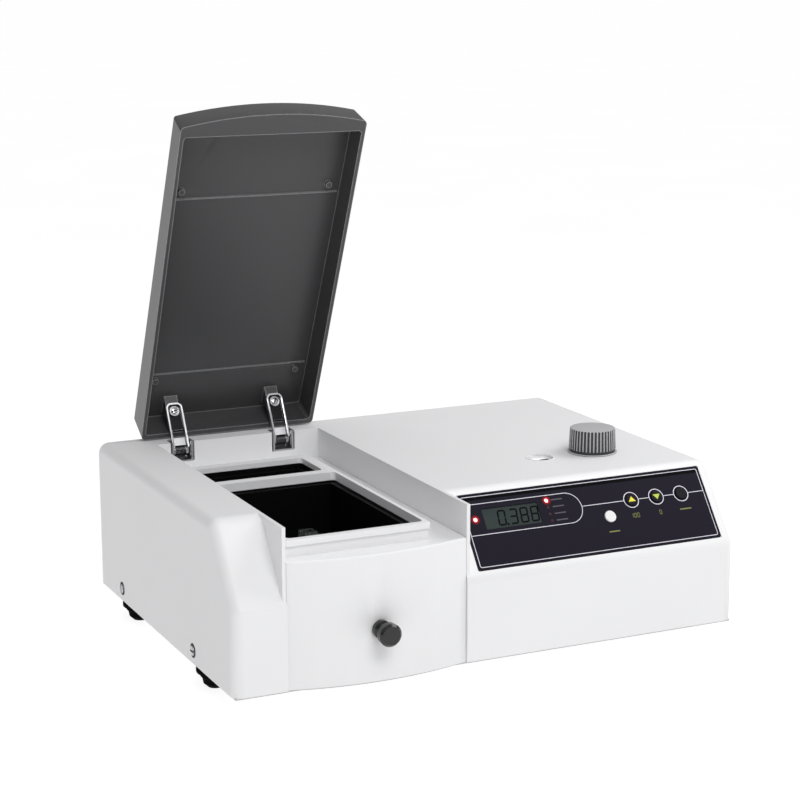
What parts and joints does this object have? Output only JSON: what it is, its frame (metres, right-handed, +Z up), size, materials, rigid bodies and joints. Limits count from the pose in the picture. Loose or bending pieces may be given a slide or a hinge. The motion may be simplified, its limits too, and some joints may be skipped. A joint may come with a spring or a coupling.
{
  "type": "visible spectrophotometer",
  "caption": "Bench spectrophotometer with a hinged sample lid, a pull rod carriage for cuvettes, a sloping control panel and a wavelength knob.",
  "frame": {"origin": "on the bench under the middle of the whole instrument, from the pull knob's tip to the power switch", "axes": "+X to the user's right, +Y to the back, +Z up"},
  "size_m": [0.4528, 0.373, 0.4461],
  "materials": {
    "white_plastic": "fine texture",
    "grey_plastic": "satin",
    "black_plastic": "satin",
    "black_rubber": "matte",
    "bright_steel": "bright",
    "chromed_steel": "polished",
    "brass": "turned",
    "aluminium": "cast",
    "panel_film": "satin film",
    "lcd_glass": "gloss",
    "red_lens": "gloss",
    "clear_lens": "polished",
    "key_plastic": "satin",
    "board_green": "satin",
    "copper_winding": "wound",
    "core_steel": "laminated",
    "mirror_face": "polished",
    "lamp_glass": "clear"
  },
  "bodies": {
    "instrument": {"base_plate": "bright_steel", "carriage_rail_left": "chromed_steel", "carriage_rail_right": "chromed_steel", "collimating_mirror": "mirror_face", "cover_shell": "white_plastic", "detector_housing": "black_plastic", "display_board": "board_green", "foot_front_left": "black_rubber", "foot_front_right": "black_rubber", "foot_rear_left": "black_rubber", "foot_rear_right": "black_rubber", "front_panel": "white_plastic", "fuse_holder": "black_plastic", "gear_plate": "aluminium", "hinge_bracket_left": "bright_steel", "hinge_bracket_right": "bright_steel", "indicator_leds": "red_lens", "knob_bush": "brass", "lamp_bulb": "lamp_glass", "lamp_house": "bright_steel", "lamp_socket": "black_plastic", "lcd_module": "lcd_glass", "main_board": "board_green", "mains_inlet": "black_plastic", "monochromator_housing": "aluminium", "monochromator_lid": "aluminium", "panel_overlay": "panel_film", "photodiode": "bright_steel", "rear_panel": "aluminium", "rear_well": "black_plastic", "recess_tray": "white_plastic", "rod_bush": "black_plastic", "sample_box": "black_plastic", "side_screws": "bright_steel", "switch_frame": "black_plastic", "transformer_coil": "copper_winding", "transformer_core": "core_steel", "window_lens": "clear_lens", "window_ring": "white_plastic"},
    "hinge_links": {"hinge_link_left": "black_plastic", "hinge_link_right": "black_plastic"},
    "lid": {"lid_shell": "grey_plastic", "hinge_arm_left": "bright_steel", "hinge_arm_right": "bright_steel"},
    "knob": {"wavelength_knob": "grey_plastic", "knob_shaft": "bright_steel"},
    "dial": {"dial_gear": "black_plastic", "dial_disc": "white_plastic"},
    "grating_turntable": {"grating_table": "aluminium", "grating": "mirror_face"},
    "carriage": {"cuvette_carriage": "black_plastic", "pull_rod": "chromed_steel", "pull_knob": "black_plastic"},
    "up_key": {"key_up": "key_plastic"},
    "down_key": {"key_down": "key_plastic"},
    "print_key": {"key_print": "key_plastic"},
    "mode_key": {"key_mode": "key_plastic"},
    "rocker": {"power_rocker": "black_plastic"}
  },
  "joints": [
    {"name": "lid_turn", "type": "hinge", "parent": "hinge_links", "child": "lid", "pos_m": [0, 0.1524, 0.1349], "axis": [1, 0, 0], "range_deg": [0, 144.8]},
    {"name": "link_turn", "type": "hinge", "parent": "instrument", "child": "hinge_links", "pos_m": [0, 0.15756, 0.12745], "axis": [1, 0, 0], "range_deg": [-78.8, 0]},
    {"name": "wavelength_turn", "type": "hinge", "parent": "instrument", "child": "knob", "pos_m": [0.1513, -0.04437, 0.1443], "axis": [0, 0, 1], "range_deg": [-600, 600]},
    {"name": "dial_turn", "type": "hinge", "parent": "instrument", "child": "dial", "pos_m": [0.10461, -0.01167, 0.1355], "axis": [0, 0, 1], "range_deg": [-160, 160]},
    {"name": "grating_turn", "type": "hinge", "parent": "instrument", "child": "grating_turntable", "pos_m": [0.04, 0.00697, 0.0343], "axis": [0, 0, 1], "range_deg": [-12, 12]},
    {"name": "carriage_slide", "type": "slide", "parent": "instrument", "child": "carriage", "axis": [0, -1, 0], "range_m": [0, 0.048]},
    {"name": "up_press", "type": "slide", "parent": "instrument", "child": "up_key", "axis": [0, 0.7956, -0.6058], "range_m": [0, 0.001], "stiffness_N_per_m": 250, "springref_m": -0.0006},
    {"name": "down_press", "type": "slide", "parent": "instrument", "child": "down_key", "axis": [0, 0.7956, -0.6058], "range_m": [0, 0.001], "stiffness_N_per_m": 250, "springref_m": -0.0006},
    {"name": "print_press", "type": "slide", "parent": "instrument", "child": "print_key", "axis": [0, 0.7956, -0.6058], "range_m": [0, 0.001], "stiffness_N_per_m": 250, "springref_m": -0.0006},
    {"name": "mode_press", "type": "slide", "parent": "instrument", "child": "mode_key", "axis": [0, 0.7956, -0.6058], "range_m": [0, 0.001], "stiffness_N_per_m": 250, "springref_m": -0.0006},
    {"name": "power_rock", "type": "hinge", "parent": "instrument", "child": "rocker", "pos_m": [0.14805, 0.18057, 0.062], "axis": [1, 0, 0], "range_deg": [-18, 0]}
  ],
  "couplings": [
    {"joint": "lid_turn", "follows": "link_turn", "ratio": -1.8376},
    {"joint": "dial_turn", "follows": "wavelength_turn", "ratio": -0.26667},
    {"joint": "grating_turn", "follows": "wavelength_turn", "ratio": 0.02}
  ]
}
